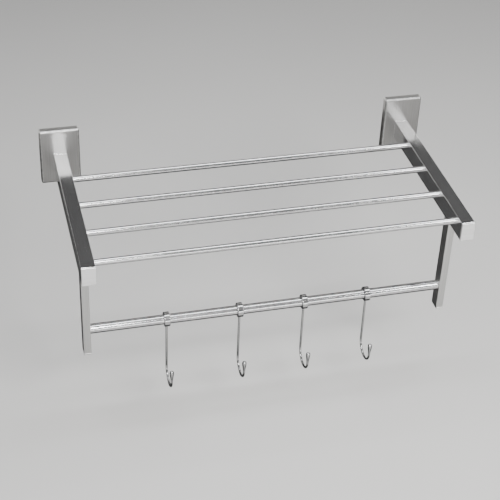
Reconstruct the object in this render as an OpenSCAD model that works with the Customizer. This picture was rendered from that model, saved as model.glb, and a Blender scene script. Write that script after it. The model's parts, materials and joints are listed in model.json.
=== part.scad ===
// Wall-mounted towel rack: two arms carry a shelf of round bars, and two drop bars
// hang a towel rail with four sliding hooks below the shelf.
// The wall is the plane Y = 0 and the rack stands out along -Y. X runs along the bars.
// The origin is the centre of the four wall screws.

/* [Frame] */
// Distance between the centres of the two arms
arm_spacing = 600; // [440:5:760]
// Distance from the wall to the front of the arms
arm_reach = 334; // [260:2:420]
// Width of an arm
arm_w = 22; // [18:0.5:30]
// Height of an arm
arm_h = 32; // [24:0.5:44]
// Wall of the arm tube
arm_wall = 1.5; // [1:0.1:2.5]
// Outer corner radius of the arm tube
arm_corner = 1; // [1:0.1:3]
// How far the centre of an arm lies below the centre of its wall cover
arm_drop = 11; // [0:0.5:14]

/* [Arm end caps] */
// Thickness of the cap's face
cap_face = 3; // [2:0.5:5]
// Length of the plug inside the arm
cap_plug = 11; // [6:0.5:14]
// Wall of the hollow plug
cap_wall = 1.6; // [1:0.1:2.5]

/* [Wall covers] */
// Width of a cover
cover_w = 66; // [54:1:90]
// Height of a cover
cover_h = 100; // [84:1:130]
// Depth of a cover, from the wall to its face
cover_t = 12; // [11:0.5:18]
// Wall of the cover shell
cover_wall = 1.5; // [1:0.1:2.5]
// Outer corner radius of a cover
cover_corner = 2; // [1:0.25:5]
// Size of the block that the grub screw threads into
boss_w = 10; // [8:0.5:14]
// Height of that block above the cover's lower wall
boss_h = 2.6; // [2:0.1:3.5]

/* [Wall brackets] */
// Width of the bracket plate
bracket_w = 44; // [30:1:50]
// Thickness of the bracket's steel
bracket_steel = 2; // [1.5:0.25:3]
// How far the bent flanges stand out from the wall
flange_reach = 9; // [7:0.5:9.5]
// Gap between the lower flange and the cover's lower wall
screw_room = 6; // [4.5:0.25:8]
// Vertical distance between the two wall screws of one bracket
screw_spacing = 60; // [40:1:66]
// Diameter of the wall screw holes
screw_hole_d = 5.2; // [4:0.1:6.5]
// Diameter of the grub screw that locks the cover
grub_d = 4; // [3:0.5:5]
// Width across flats of the grub screw's socket
grub_socket = 2; // [1.5:0.1:2.5]
// Depth of the grub screw's socket
grub_socket_depth = 2.4; // [1.5:0.1:3]

/* [Shelf bars] */
// Number of shelf bars
bar_count = 4; // [2:1:6]
// Diameter of a shelf bar
bar_d = 10.5; // [8:0.5:13]
// Wall of the shelf bar tube
bar_wall = 1; // [0.8:0.1:2]
// Distance from the wall to the centre of the rear bar
rear_bar_standoff = 78; // [50:1:110]
// Distance from the front of the arms to the centre of the front bar
front_bar_setback = 25; // [22:0.5:50]
// Depth of the bar centres below the top of the arms
bar_depth = 9; // [7:0.25:16]
// Length of bar inside the hollow of each arm
bar_insert = 6; // [3:0.5:12]

/* [Drop bars and towel rail] */
// Width of a drop bar, along the rail
drop_w = 12; // [10:0.5:16]
// Depth of a drop bar, out from the wall
drop_t = 21; // [18:0.5:30]
// Wall of the drop bar tube
drop_wall = 1.2; // [1:0.1:2]
// Length of a drop bar below its arm
drop_length = 185; // [140:1:240]
// Distance from the front of the arms to the centre of a drop bar
drop_setback = 71; // [50:1:110]
// Thickness of the plate that closes a drop bar
foot_face = 2; // [1.5:0.5:4]
// Length of the plug above that plate
foot_plug = 8; // [5:0.5:14]
// Outside diameter of the towel rail
rail_d = 16; // [13:0.5:17]
// Wall of the rail tube
rail_wall = 1.2; // [1:0.1:2]
// Height of the rail's centre above the end of the drop bars
rail_lift = 44; // [30:1:60]

/* [Hooks] */
// Place of each hook along the rail, from its middle
hook_places = [-170, -49, 60, 168];
// Width of a hook's ring, along the rail
ring_w = 9; // [7:0.5:14]
// Wall of the ring, outside its liner
ring_wall = 2.9; // [2.6:0.1:5]
// Chamfer on the ring's outer edges
ring_chamfer = 0.5; // [0.2:0.1:0.8]
// Wall of the plastic liner inside the ring
liner_wall = 1; // [0.8:0.1:1.6]
// Thickness of the liner's end flanges
liner_flange = 0.8; // [0.6:0.1:1.2]
// How far the flanges stand above the liner's sleeve
liner_lip = 0.9; // [0.6:0.1:1.2]
// Width of the split that lets the liner snap in
liner_split = 1; // [0.6:0.1:2]
// Diameter of the hook's wire
wire_d = 3.6; // [3:0.1:5]
// Depth of the wire's end inside the ring
wire_seat = 1.6; // [1:0.1:2]
// Distance from the rail's centre to the start of the bend
hook_drop = 96; // [70:1:130]
// Radius of the bend, at the middle of the wire
hook_bend = 22; // [14:0.5:30]
// Height of the tip above the start of the bend
tip_rise = 22; // [12:0.5:34]
// Diameter of the rounded tip
tip_d = 7.2; // [4:0.1:8]

/* [Clearances] */
// Gap round a part that is welded or brazed into a hole
weld_gap = 0.05; // [0.02:0.01:0.2]
// Radial gap of a part that slides or turns
run_gap = 0.05; // [0.02:0.01:0.1]
// Gap between a plug and the tube it sits in
plug_gap = 0.1; // [0.05:0.05:0.3]
// Gap between the bracket and the inside of its cover
cover_gap = 0.5; // [0.3:0.1:1]
// End gap between the ring and the liner's flanges
flange_gap = 0.1; // [0.05:0.05:0.3]

/* [Hidden] */
$fn = 64;
// How far a cutting shape runs past the face it opens
cut = 1;
left = -arm_spacing / 2;
right = arm_spacing / 2;
arm_mid = -arm_drop;
arm_top = arm_mid + arm_h / 2;
arm_under = arm_mid - arm_h / 2;
arm_length = arm_reach - cover_t - cap_face;
bar_z = arm_top - bar_depth;
bar_pitch = (arm_reach - front_bar_setback - rear_bar_standoff) / (bar_count - 1);
// The bars reach through the inner wall of each arm
bar_length = arm_spacing - arm_w + 2 * arm_wall + 2 * bar_insert;
drop_y = -(arm_reach - drop_setback);
drop_tube = drop_length - foot_face;
rail_z = arm_under - drop_length + rail_lift;
// The rail ends against the inside of the drop bars' outer walls
rail_length = arm_spacing + drop_w - 2 * drop_wall;
cover_inside_h = cover_h - 2 * cover_wall;
bracket_top = cover_inside_h / 2 - cover_gap;
bracket_low = -cover_inside_h / 2 + screw_room;
grub_length = cover_wall + screw_room;
liner_bore = rail_d / 2 + run_gap;
liner_r = liner_bore + liner_wall;
flange_r = liner_r + liner_lip;
ring_bore = liner_r + run_gap;
ring_r = ring_bore + ring_wall;
// The flanges lie in a recess at each end of the ring
recess_r = flange_r + run_gap;
recess_depth = liner_flange + flange_gap;
wire_r = wire_d / 2;
tip_r = tip_d / 2;

// ---- shapes that several parts share ----

// A rectangle with rounded corners, centred on the origin
module rounded_rect(w, h, r) {
    square([w - 2 * r, h], center = true);
    square([w, h - 2 * r], center = true);
    for (x = [-1, 1], y = [-1, 1])
        translate([x * (w / 2 - r), y * (h / 2 - r)])
            circle(r);
}

// Stands a flat outline in the XZ plane and extrudes it towards the wall, from Y = front
module along_y(front, length) {
    translate([0, front + length, 0])
        rotate([90, 0, 0])
            linear_extrude(length)
                children();
}

// Turns a shape made about the Z axis so that it lies along X
module along_x() {
    rotate([0, 90, 0])
        children();
}

// A round tube along X, centred on the origin
module round_tube(d, wall, length) {
    along_x()
        difference() {
            cylinder(d = d, h = length, center = true);
            cylinder(d = d - 2 * wall, h = length + 2 * cut, center = true);
        }
}

// ---- wall fixing ----

// A stamped U-shaped bracket that two screws hold against the wall
module wall_bracket(x) {
    base_h = bracket_top - bracket_low;
    color("darkgray")
        translate([x - bracket_w / 2, 0, 0])
            difference() {
                union() {
                    translate([0, -bracket_steel, bracket_low])
                        cube([bracket_w, bracket_steel, base_h]);
                    translate([0, -flange_reach, bracket_top - bracket_steel])
                        cube([bracket_w, flange_reach, bracket_steel]);
                    translate([0, -flange_reach, bracket_low])
                        cube([bracket_w, flange_reach, bracket_steel]);
                }
                for (z = [-1, 1])
                    translate([bracket_w / 2, cut, z * screw_spacing / 2])
                        rotate([90, 0, 0])
                            cylinder(d = screw_hole_d, h = bracket_steel + 2 * cut);
            }
}

// A hollow cover, open at the wall, with a threaded block in its lower wall
module wall_cover(x) {
    inside_w = cover_w - 2 * cover_wall;
    inside_corner = max(cover_corner - cover_wall, 0.3);
    boss_y = -flange_reach / 2;
    color("silver")
        translate([x, 0, 0])
            difference() {
                union() {
                    difference() {
                        along_y(-cover_t, cover_t)
                            rounded_rect(cover_w, cover_h, cover_corner);
                        along_y(-cover_t + cover_wall, cover_t)
                            rounded_rect(inside_w, cover_inside_h, inside_corner);
                    }
                    translate([-boss_w / 2, boss_y - grub_d, -cover_h / 2 + cover_wall / 2])
                        cube([boss_w, 2 * grub_d, boss_h + cover_wall / 2]);
                }
                translate([0, boss_y, -cover_h / 2 - cut])
                    cylinder(d = grub_d + 2 * weld_gap, h = cover_wall + boss_h + 2 * cut);
            }
}

// The screw that presses up on the bracket's lower flange and locks the cover
module grub_screw(x) {
    color("dimgray")
        translate([x, -flange_reach / 2, -cover_h / 2])
            difference() {
                cylinder(d = grub_d, h = grub_length);
                translate([0, 0, -cut])
                    cylinder(d = grub_socket / cos(30), h = grub_socket_depth + cut, $fn = 6);
            }
}

// ---- arms ----

// A rectangular tube with a hole in its inner wall for each shelf bar
module arm(x) {
    inner_side = x < 0 ? 1 : -1;
    color("gainsboro")
        translate([x, 0, 0])
            difference() {
                translate([0, 0, arm_mid])
                    along_y(-arm_reach + cap_face, arm_length)
                        difference() {
                            rounded_rect(arm_w, arm_h, arm_corner);
                            square([arm_w - 2 * arm_wall, arm_h - 2 * arm_wall], center = true);
                        }
                for (i = [0 : bar_count - 1])
                    translate([inner_side * arm_w / 2, bar_y(i), bar_z])
                        along_x()
                            cylinder(d = bar_d + 2 * weld_gap, h = 2 * arm_wall + cut, center = true);
            }
}

// The cap that closes the front of an arm, with a hollow plug inside the tube
module arm_cap(x) {
    plug_w = arm_w - 2 * arm_wall - 2 * plug_gap;
    plug_h = arm_h - 2 * arm_wall - 2 * plug_gap;
    color("white")
        translate([x, 0, arm_mid]) {
            along_y(-arm_reach, cap_face)
                rounded_rect(arm_w, arm_h, arm_corner);
            along_y(-arm_reach + cap_face, cap_plug)
                difference() {
                    square([plug_w, plug_h], center = true);
                    square([plug_w - 2 * cap_wall, plug_h - 2 * cap_wall], center = true);
                }
        }
}

// ---- shelf bars ----

// The place of a shelf bar, counted from the wall
function bar_y(i) = -rear_bar_standoff - i * bar_pitch;

module shelf_bar(i) {
    color("lightgray")
        translate([0, bar_y(i), bar_z])
            round_tube(bar_d, bar_wall, bar_length);
}

// ---- drop bars and rail ----

// A flat tube that hangs from the underside of an arm, with a hole for the rail
module drop_bar(x) {
    inner_side = x < 0 ? 1 : -1;
    color("lightgray")
        translate([x, drop_y, 0])
            difference() {
                translate([0, 0, arm_under - drop_tube])
                    linear_extrude(drop_tube)
                        difference() {
                            square([drop_w, drop_t], center = true);
                            square([drop_w - 2 * drop_wall, drop_t - 2 * drop_wall], center = true);
                        }
                translate([inner_side * drop_w / 2, 0, rail_z])
                    along_x()
                        cylinder(d = rail_d + 2 * weld_gap, h = 2 * drop_wall + cut, center = true);
            }
}

// The plate and plug that close the lower end of a drop bar
module drop_foot(x) {
    plug_w = drop_w - 2 * drop_wall - 2 * plug_gap;
    plug_t = drop_t - 2 * drop_wall - 2 * plug_gap;
    color("lightgray")
        translate([x, drop_y, arm_under - drop_length]) {
            linear_extrude(foot_face)
                square([drop_w, drop_t], center = true);
            linear_extrude(foot_face + foot_plug)
                square([plug_w, plug_t], center = true);
        }
}

module towel_rail() {
    color("silver")
        translate([0, drop_y, rail_z])
            round_tube(rail_d, rail_wall, rail_length);
}

// ---- hooks ----

// A split plastic sleeve that slides on the rail, with a flange at each end
module hook_liner(x) {
    color("dimgray")
        translate([x, drop_y, rail_z])
            difference() {
                along_x() {
                    cylinder(r = liner_r, h = ring_w, center = true);
                    for (side = [0, 180])
                        rotate([side, 0, 0])
                            translate([0, 0, ring_w / 2 - liner_flange])
                                cylinder(r = flange_r, h = liner_flange);
                }
                along_x()
                    cylinder(r = liner_bore, h = ring_w + 2 * cut, center = true);
                translate([-ring_w / 2 - cut, -liner_split / 2, 0])
                    cube([ring_w + 2 * cut, liner_split, flange_r + cut]);
            }
}

// A ring that turns on the liner, drilled below for the wire
module hook_ring(x) {
    edge = ring_w / 2;
    color("gainsboro")
        translate([x, drop_y, rail_z])
            difference() {
                along_x()
                    rotate_extrude()
                        polygon([
                            [ring_bore, -edge + recess_depth],
                            [recess_r, -edge + recess_depth],
                            [recess_r, -edge],
                            [ring_r - ring_chamfer, -edge],
                            [ring_r, -edge + ring_chamfer],
                            [ring_r, edge - ring_chamfer],
                            [ring_r - ring_chamfer, edge],
                            [recess_r, edge],
                            [recess_r, edge - recess_depth],
                            [ring_bore, edge - recess_depth]
                        ]);
                translate([0, 0, -ring_r - cut])
                    cylinder(r = wire_r + weld_gap, h = wire_seat + cut);
            }
}

// The wire: a straight shank, a half-round bend towards the front, and a thickened tip
module hook_wire(x) {
    shank_top = -ring_r + wire_seat;
    taper = tip_rise - tip_r;
    color("silver")
        translate([x, drop_y, rail_z]) {
            translate([0, 0, -hook_drop])
                cylinder(r = wire_r, h = hook_drop + shank_top);
            translate([0, -hook_bend, -hook_drop])
                rotate([90, 0, 90])
                    rotate([0, 0, 180])
                        rotate_extrude(angle = 180)
                            translate([hook_bend, 0])
                                circle(wire_r);
            translate([0, -2 * hook_bend, -hook_drop]) {
                cylinder(r1 = wire_r, r2 = tip_r, h = taper);
                translate([0, 0, taper])
                    sphere(tip_r);
            }
        }
}

// ---- the rack ----

wall_bracket(left);  // wall_bracket_left
wall_bracket(right);  // wall_bracket_right
wall_cover(left);  // wall_cover_left
wall_cover(right);  // wall_cover_right
grub_screw(left);  // grub_screw_left
grub_screw(right);  // grub_screw_right
arm(left);  // arm_left
arm(right);  // arm_right
arm_cap(left);  // arm_cap_left
arm_cap(right);  // arm_cap_right
shelf_bar(0);  // shelf_bar_1
shelf_bar(1);  // shelf_bar_2
shelf_bar(2);  // shelf_bar_3
shelf_bar(3);  // shelf_bar_4
drop_bar(left);  // drop_bar_left
drop_bar(right);  // drop_bar_right
drop_foot(left);  // drop_foot_left
drop_foot(right);  // drop_foot_right
towel_rail();
hook_liner(hook_places[0]);  // hook_liner_1
hook_liner(hook_places[1]);  // hook_liner_2
hook_liner(hook_places[2]);  // hook_liner_3
hook_liner(hook_places[3]);  // hook_liner_4
hook_ring(hook_places[0]);  // hook_ring_1
hook_ring(hook_places[1]);  // hook_ring_2
hook_ring(hook_places[2]);  // hook_ring_3
hook_ring(hook_places[3]);  // hook_ring_4
hook_wire(hook_places[0]);  // hook_wire_1
hook_wire(hook_places[1]);  // hook_wire_2
hook_wire(hook_places[2]);  // hook_wire_3
hook_wire(hook_places[3]);  // hook_wire_4
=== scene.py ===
"""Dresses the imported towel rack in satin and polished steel, and sets up its stage."""
import json
import logging
import math
from dataclasses import dataclass
from enum import Enum
from typing import Callable, Iterable, Sequence

import bmesh
import bpy
from mathutils import Matrix, Vector


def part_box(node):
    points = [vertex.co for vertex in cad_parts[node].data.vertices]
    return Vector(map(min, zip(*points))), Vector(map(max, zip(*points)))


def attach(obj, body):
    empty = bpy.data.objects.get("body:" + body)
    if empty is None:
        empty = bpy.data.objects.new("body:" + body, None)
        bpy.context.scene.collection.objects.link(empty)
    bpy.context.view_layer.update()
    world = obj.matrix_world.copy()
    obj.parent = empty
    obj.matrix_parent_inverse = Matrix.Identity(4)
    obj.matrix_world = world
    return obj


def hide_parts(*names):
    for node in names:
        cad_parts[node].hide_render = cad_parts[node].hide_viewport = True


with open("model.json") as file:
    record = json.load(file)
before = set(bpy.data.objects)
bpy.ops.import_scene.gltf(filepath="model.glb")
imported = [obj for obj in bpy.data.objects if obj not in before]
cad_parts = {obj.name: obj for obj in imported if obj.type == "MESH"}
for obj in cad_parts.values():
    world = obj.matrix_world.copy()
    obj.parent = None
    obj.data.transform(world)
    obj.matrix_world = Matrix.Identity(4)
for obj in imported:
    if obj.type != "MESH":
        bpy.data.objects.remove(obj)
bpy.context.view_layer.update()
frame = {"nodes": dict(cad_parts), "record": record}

MM = 0.001
LOG = logging.getLogger("towel_rack")

SHELF_BARS = 4
HOOKS = 4

# Points closer together than this are one point.
SAME_POINT = 0.001 * MM
# How far the ring or point beside a rounded edge stands from it, so that the face there shades flat.
GUARD = 0.5 * MM
# The corners inside a tube and on the plug in it, and the guard beside them.
INNER_CORNER = 0.3 * MM

X_AXIS = Vector((1, 0, 0))
Y_AXIS = Vector((0, 1, 0))
Z_AXIS = Vector((0, 0, 1))

Point2 = tuple[float, float]
Tone = tuple[float, float, float]
Ring = list[Vector]


class Side(Enum):
    """The two ends of the rack, as the sign of X."""

    LEFT = -1
    RIGHT = 1

    @property
    def word(self) -> str:
        """The word that node names use for this end."""
        return self.name.lower()


class Grain(Enum):
    """The way polishing or brushing lines run, as a stretch of the noise along X, Y and Z."""

    ALONG_X = (0.02, 1.0, 1.0)
    ALONG_Y = (1.0, 0.02, 1.0)
    ALONG_Z = (1.0, 1.0, 0.02)
    ROUND_X = (1.0, 0.06, 0.06)


# ---------------------------------------------------------------------------
# Shader groups and finishes
# ---------------------------------------------------------------------------


class Tree:
    """Adds and links nodes in one node tree, with less ceremony than the API."""

    def __init__(self, tree: bpy.types.NodeTree) -> None:
        """Wraps a tree.

        Args:
            tree: The shader or geometry tree to write in.
        """
        self.tree = tree

    def add(self, kind: str, **settings: object) -> bpy.types.Node:
        """Adds a node.

        Args:
            kind: The node's type name.
            **settings: Properties of the node to set.

        Returns:
            The new node.
        """
        node = self.tree.nodes.new(kind)
        for name, value in settings.items():
            setattr(node, name, value)
        return node

    def link(self, source: bpy.types.NodeSocket, target: bpy.types.NodeSocket) -> None:
        """Joins an output socket to an input socket."""
        self.tree.links.new(source, target)

    def math(
        self, operation: str, first: object, second: object = None, clamp: bool = False,
    ) -> bpy.types.NodeSocket:
        """Adds a Math node.

        Args:
            operation: The operation's name, such as MULTIPLY.
            first: A socket or a number.
            second: A socket, a number, or nothing.
            clamp: Whether the result stays between 0 and 1.

        Returns:
            The result's socket.
        """
        node = self.add("ShaderNodeMath", operation=operation, use_clamp=clamp)
        for socket, value in zip(node.inputs, (first, second)):
            if isinstance(value, bpy.types.NodeSocket):
                self.link(value, socket)
            elif value is not None:
                socket.default_value = value
        return node.outputs["Value"]

    def remap(self, value: bpy.types.NodeSocket, source: Point2, target: Point2) -> bpy.types.NodeSocket:
        """Maps a varying value from one range to another, clamped.

        Args:
            value: The value's socket.
            source: The range it comes in.
            target: The range it leaves in.

        Returns:
            The mapped value's socket.
        """
        node = self.add("ShaderNodeMapRange", clamp=True)
        self.link(value, node.inputs["Value"])
        for name, number in zip(("From Min", "From Max", "To Min", "To Max"), (*source, *target)):
            node.inputs[name].default_value = number
        return node.outputs["Result"]

    def mix(self, factor: bpy.types.NodeSocket, first: object, second: object) -> bpy.types.NodeSocket:
        """Mixes two colours by a mask.

        Args:
            factor: The mask's socket.
            first: The colour where the mask is 0, a socket or an RGB tuple.
            second: The colour where the mask is 1.

        Returns:
            The mixed colour's socket.
        """
        node = self.add("ShaderNodeMix", data_type="RGBA")
        self.link(factor, node.inputs["Factor"])
        for socket, value in zip((node.inputs[6], node.inputs[7]), (first, second)):
            if isinstance(value, bpy.types.NodeSocket):
                self.link(value, socket)
            else:
                socket.default_value = (*value, 1.0)
        return node.outputs[2]

    def noise(self, vector: bpy.types.NodeSocket, scale: object, detail: float) -> bpy.types.NodeSocket:
        """Adds a 3D noise.

        Args:
            vector: The socket of the point.
            scale: A socket or a number.
            detail: The number of octaves above the first.

        Returns:
            The socket of the noise's value.
        """
        node = self.add("ShaderNodeTexNoise")
        self.link(vector, node.inputs["Vector"])
        node.inputs["Detail"].default_value = detail
        if isinstance(scale, bpy.types.NodeSocket):
            self.link(scale, node.inputs["Scale"])
        else:
            node.inputs["Scale"].default_value = scale
        return node.outputs["Fac"]


def blank_material(name: str) -> tuple[bpy.types.Material, Tree, bpy.types.Node]:
    """Makes a material to fill in.

    Args:
        name: The material's name.

    Returns:
        The material, its tree and its Principled shader.
    """
    material = bpy.data.materials.new(name)
    material.use_nodes = True
    return material, Tree(material.node_tree), material.node_tree.nodes["Principled BSDF"]


class ShaderGroups:
    """The shader node groups that the finishes share, each built once."""

    def __init__(self) -> None:
        """Builds every group."""
        self.grain = self._group("steel_grain", self._grain)
        self.marks = self._group("handling_marks", self._marks)
        self.wear_and_sheen = self._group("worn_edges", self._wear_and_sheen)
        self.dust = self._group("settled_dust", self._dust)

    def place(self, tree: Tree, group: bpy.types.NodeTree, **values: object) -> bpy.types.Node:
        """Places a group in a material.

        Args:
            tree: The material's tree.
            group: The group to place.
            **values: A socket or a plain value for each named input.

        Returns:
            The group's node.
        """
        node = tree.add("ShaderNodeGroup", node_tree=group)
        for name, value in values.items():
            socket = node.inputs[name]
            if isinstance(value, bpy.types.NodeSocket):
                tree.link(value, socket)
            else:
                socket.default_value = value
        return node

    @staticmethod
    def _group(name: str, build: Callable[[Tree], None]) -> bpy.types.NodeTree:
        """Makes an empty group and lets a function fill it."""
        group = bpy.data.node_groups.new(name, "ShaderNodeTree")
        build(Tree(group))
        return group

    @staticmethod
    def _sockets(
        tree: Tree, inputs: dict[str, tuple[str, object]], outputs: Sequence[str],
    ) -> tuple[bpy.types.Node, bpy.types.Node]:
        """Declares a group's sockets.

        Args:
            tree: The group's tree.
            inputs: Each input's name, with its socket type and default.
            outputs: The names of the float outputs.

        Returns:
            The group's input node and output node.
        """
        face = tree.tree.interface
        for name, (kind, default) in inputs.items():
            socket = face.new_socket(name=name, in_out="INPUT", socket_type=kind)
            if default is not None:
                socket.default_value = default
        for name in outputs:
            face.new_socket(name=name, in_out="OUTPUT", socket_type="NodeSocketFloat")
        return tree.add("NodeGroupInput"), tree.add("NodeGroupOutput")

    def _grain(self, tree: Tree) -> None:
        """Fills the group of long fine lines that brushing or polishing leaves."""
        source, result = self._sockets(
            tree,
            {
                "Point": ("NodeSocketVector", None),
                "Stretch": ("NodeSocketVector", (1.0, 1.0, 1.0)),
                "Scale": ("NodeSocketFloat", 2000.0),
            },
            ("Lines", "Bands"),
        )
        stretch = tree.add("ShaderNodeVectorMath", operation="MULTIPLY")
        tree.link(source.outputs["Point"], stretch.inputs[0])
        tree.link(source.outputs["Stretch"], stretch.inputs[1])
        fine = tree.noise(stretch.outputs[0], source.outputs["Scale"], 2.0)
        wide_scale = tree.math("MULTIPLY", source.outputs["Scale"], 0.17)
        wide = tree.noise(stretch.outputs[0], wide_scale, 1.0)
        lines = tree.math("ADD", tree.math("MULTIPLY", fine, 0.65), tree.math("MULTIPLY", wide, 0.35))
        tree.link(lines, result.inputs["Lines"])
        tree.link(tree.remap(wide, (0.34, 0.66), (0.0, 1.0)), result.inputs["Bands"])

    def _marks(self, tree: Tree) -> None:
        """Fills the group of smears from hands and dried drops of water."""
        source, result = self._sockets(
            tree,
            {"Point": ("NodeSocketVector", None), "Scale": ("NodeSocketFloat", 22.0)},
            ("Smear", "Drops"),
        )
        smear = tree.noise(source.outputs["Point"], source.outputs["Scale"], 3.0)
        tree.link(tree.remap(smear, (0.46, 0.72), (0.0, 1.0)), result.inputs["Smear"])
        drop_scale = tree.math("MULTIPLY", source.outputs["Scale"], 7.0)
        drops = tree.add("ShaderNodeTexVoronoi", feature="F1")
        tree.link(source.outputs["Point"], drops.inputs["Vector"])
        tree.link(drop_scale, drops.inputs["Scale"])
        rim = tree.remap(drops.outputs["Distance"], (0.10, 0.16), (1.0, 0.0))
        core = tree.remap(drops.outputs["Distance"], (0.05, 0.09), (0.6, 0.0))
        ring = tree.math("SUBTRACT", rim, core, clamp=True)
        scatter = tree.noise(source.outputs["Point"], source.outputs["Scale"], 0.0)
        sparse = tree.remap(scatter, (0.55, 0.62), (0.0, 1.0))
        tree.link(tree.math("MULTIPLY", ring, sparse), result.inputs["Drops"])

    def _wear_and_sheen(self, tree: Tree) -> None:
        """Fills the mask of rounded edges painted brighter: rubbed wear, and on the covers partly a painted
        highlight.
        """
        source, result = self._sockets(
            tree,
            {
                "Point": ("NodeSocketVector", None),
                "Edge": ("NodeSocketFloat", 0.0),
                "Amount": ("NodeSocketFloat", 0.6),
            },
            ("Worn",),
        )
        patchy = tree.remap(tree.noise(source.outputs["Point"], 160.0, 3.0), (0.35, 0.65), (0.35, 1.0))
        rubbed = tree.math("MULTIPLY", source.outputs["Edge"], patchy)
        worn_and_sheen = tree.math("MULTIPLY", rubbed, source.outputs["Amount"], clamp=True)
        tree.link(worn_and_sheen, result.inputs["Worn"])

    def _dust(self, tree: Tree) -> None:
        """Fills the group of fine dust, which lies on faces that look up."""
        source, result = self._sockets(
            tree,
            {"Point": ("NodeSocketVector", None), "Amount": ("NodeSocketFloat", 0.1)},
            ("Dust",),
        )
        facing = tree.add("ShaderNodeSeparateXYZ")
        tree.link(tree.add("ShaderNodeNewGeometry").outputs["Normal"], facing.inputs["Vector"])
        upward = tree.remap(facing.outputs["Z"], (0.55, 0.98), (0.0, 1.0))
        specks = tree.remap(tree.noise(source.outputs["Point"], 900.0, 2.0), (0.45, 0.75), (0.0, 1.0))
        patches = tree.remap(tree.noise(source.outputs["Point"], 14.0, 2.0), (0.35, 0.7), (0.2, 1.0))
        lying = tree.math("MULTIPLY", tree.math("MULTIPLY", upward, specks), patches)
        tree.link(tree.math("MULTIPLY", lying, source.outputs["Amount"], clamp=True), result.inputs["Dust"])


@dataclass(frozen=True)
class SteelFinish:
    """A metal surface with lines from the belt or the wheel, marks of use, and rounded edges painted
    brighter: wear, and on the covers partly a painted highlight.
    """

    name: str
    slot: str
    tone: Tone
    deep_tone: Tone
    worn_and_sheen_tone: Tone
    roughness: float
    roughness_spread: float
    grain: Grain
    grain_scale: float
    relief: float
    marks: float = 0.5
    wear_and_sheen: float = 0.5
    dust: float = 0.12

    def build(self, groups: ShaderGroups) -> bpy.types.Material:
        """Makes the material.

        Args:
            groups: The shared shader groups.

        Returns:
            The finished material.
        """
        material, tree, shader = blank_material(self.name)
        shader.inputs["Metallic"].default_value = 1.0
        point = tree.add("ShaderNodeTexCoord").outputs["Object"]
        edge = tree.add("ShaderNodeAttribute", attribute_name="edge").outputs["Fac"]
        grain = groups.place(
            tree, groups.grain, Point=point, Stretch=self.grain.value, Scale=self.grain_scale,
        )
        marks = groups.place(tree, groups.marks, Point=point)
        worn_and_sheen = groups.place(tree, groups.wear_and_sheen, Point=point, Edge=edge, Amount=self.wear_and_sheen).outputs["Worn"]
        dust = groups.place(tree, groups.dust, Point=point, Amount=self.dust).outputs["Dust"]

        base = tree.mix(grain.outputs["Bands"], self.deep_tone, self.tone)
        # Rounded edges are painted brighter here: rubbing wear, and on the covers partly a painted highlight
        # along the rim.
        base = tree.mix(worn_and_sheen, base, self.worn_and_sheen_tone)
        base = tree.mix(dust, base, (0.62, 0.60, 0.57))
        tree.link(base, shader.inputs["Base Color"])

        low, high = self.roughness - self.roughness_spread, self.roughness + self.roughness_spread
        rough = tree.remap(grain.outputs["Lines"], (0.3, 0.7), (low, high))
        smeared = tree.math("MULTIPLY", marks.outputs["Smear"], 0.10 * self.marks)
        dried = tree.math("MULTIPLY", marks.outputs["Drops"], 0.16 * self.marks)
        rough = tree.math("ADD", rough, tree.math("ADD", smeared, dried))
        rough = tree.math("ADD", rough, tree.math("MULTIPLY", dust, 0.9))
        rough = tree.math("SUBTRACT", rough, tree.math("MULTIPLY", worn_and_sheen, 0.06), clamp=True)
        tree.link(rough, shader.inputs["Roughness"])

        bump = tree.add("ShaderNodeBump")
        bump.inputs["Distance"].default_value = self.relief
        bump.inputs["Strength"].default_value = 1.0
        tree.link(grain.outputs["Lines"], bump.inputs["Height"])
        tree.link(bump.outputs["Normal"], shader.inputs["Normal"])
        return material


@dataclass(frozen=True)
class NylonFinish:
    """Moulded nylon with a fine spark-eroded grain and polish where it rubs."""

    name: str = "liner_nylon"
    slot: str = "liner_plastic"
    tone: Tone = (0.035, 0.036, 0.040)
    rubbed_tone: Tone = (0.085, 0.087, 0.092)
    roughness: float = 0.46

    def build(self, groups: ShaderGroups) -> bpy.types.Material:
        """Makes the material.

        Args:
            groups: The shared shader groups.

        Returns:
            The finished material.
        """
        material, tree, shader = blank_material(self.name)
        point = tree.add("ShaderNodeTexCoord").outputs["Object"]
        pitted = tree.noise(point, 2600.0, 2.0)
        rubbed = groups.place(tree, groups.marks, Point=point, Scale=60.0).outputs["Smear"]
        tree.link(tree.mix(rubbed, self.tone, self.rubbed_tone), shader.inputs["Base Color"])
        rough = tree.remap(pitted, (0.3, 0.7), (self.roughness - 0.06, self.roughness + 0.08))
        rough = tree.math("SUBTRACT", rough, tree.math("MULTIPLY", rubbed, 0.12), clamp=True)
        tree.link(rough, shader.inputs["Roughness"])
        bump = tree.add("ShaderNodeBump")
        bump.inputs["Distance"].default_value = 0.02 * MM
        tree.link(pitted, bump.inputs["Height"])
        tree.link(bump.outputs["Normal"], shader.inputs["Normal"])
        return material


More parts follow.
